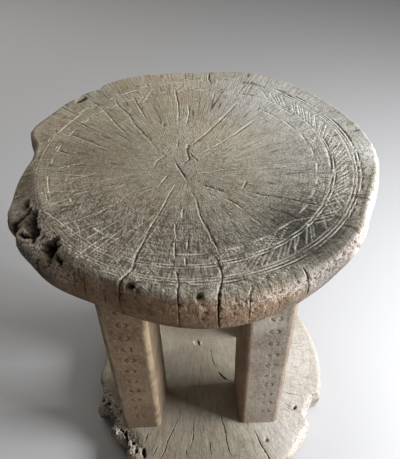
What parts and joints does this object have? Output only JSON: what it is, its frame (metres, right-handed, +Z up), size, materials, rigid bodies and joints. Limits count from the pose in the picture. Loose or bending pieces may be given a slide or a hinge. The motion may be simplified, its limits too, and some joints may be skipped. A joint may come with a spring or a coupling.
{
  "type": "stool",
  "caption": "Low round stool hewn from one log: a thick disc seat with an incised border, carried by upright posts on a matching round base.",
  "frame": {"origin": "on the ground at the axis of the round base", "axes": "+Z up from the base to the seat, -Y towards the front where the opening between the posts faces the viewer, +X to the viewer's right"},
  "size_m": [0.2793, 0.2765, 0.332],
  "materials": {
    "seat_wood": "dry, weathered end grain, unfinished",
    "base_wood": "dry, dusty end grain, unfinished",
    "post_wood": "dry, hand-worn upright grain, unfinished"
  },
  "bodies": {
    "root": {"seat": "seat_wood", "base": "base_wood", "front_left_post": "post_wood", "front_right_post": "post_wood", "rear_left_post": "post_wood", "rear_right_post": "post_wood"}
  },
  "joints": []
}
